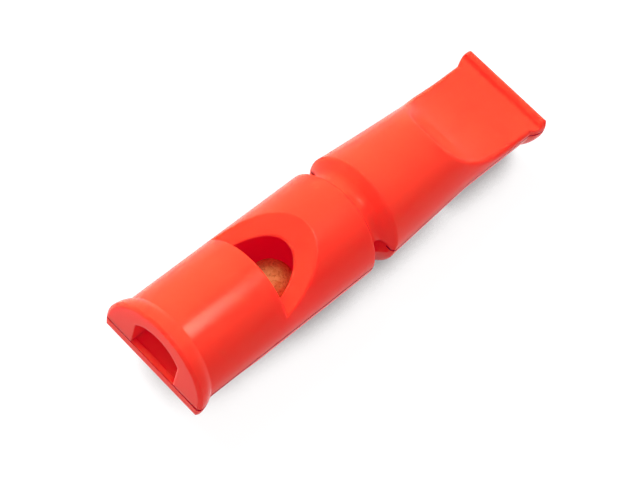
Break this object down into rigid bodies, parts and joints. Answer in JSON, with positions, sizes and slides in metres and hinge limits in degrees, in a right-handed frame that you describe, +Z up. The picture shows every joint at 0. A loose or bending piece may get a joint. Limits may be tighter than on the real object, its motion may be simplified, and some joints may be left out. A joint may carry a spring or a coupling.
{
  "type": "sports whistle",
  "caption": "Double-ended moulded sports whistle with a pea whistle at one end, a pealess whistle turned over at the other, and a grooved waist with a lanyard hole between them.",
  "frame": {"origin": "centre of the lanyard hole, on the whistle's long axis", "axes": "+X along the whistle to the mouth of the pealess end, +Y along the lanyard hole, +Z up through the window of the pea whistle"},
  "size_m": [0.0798, 0.0208, 0.02],
  "materials": {
    "shell_plastic": "glossy orange-red injection-moulded plastic",
    "cork": "bare ground cork, matt and finely pitted"
  },
  "bodies": {
    "body": {"upper_shell": "shell_plastic", "lower_shell": "shell_plastic"},
    "pea": {"cork_pea": "cork"}
  },
  "joints": [
    {"name": "pea_orbit", "type": "hinge", "parent": "body", "child": "pea", "pos_m": [-0.015, 0, 0], "axis": [0, 1, 0], "continuous": true}
  ]
}
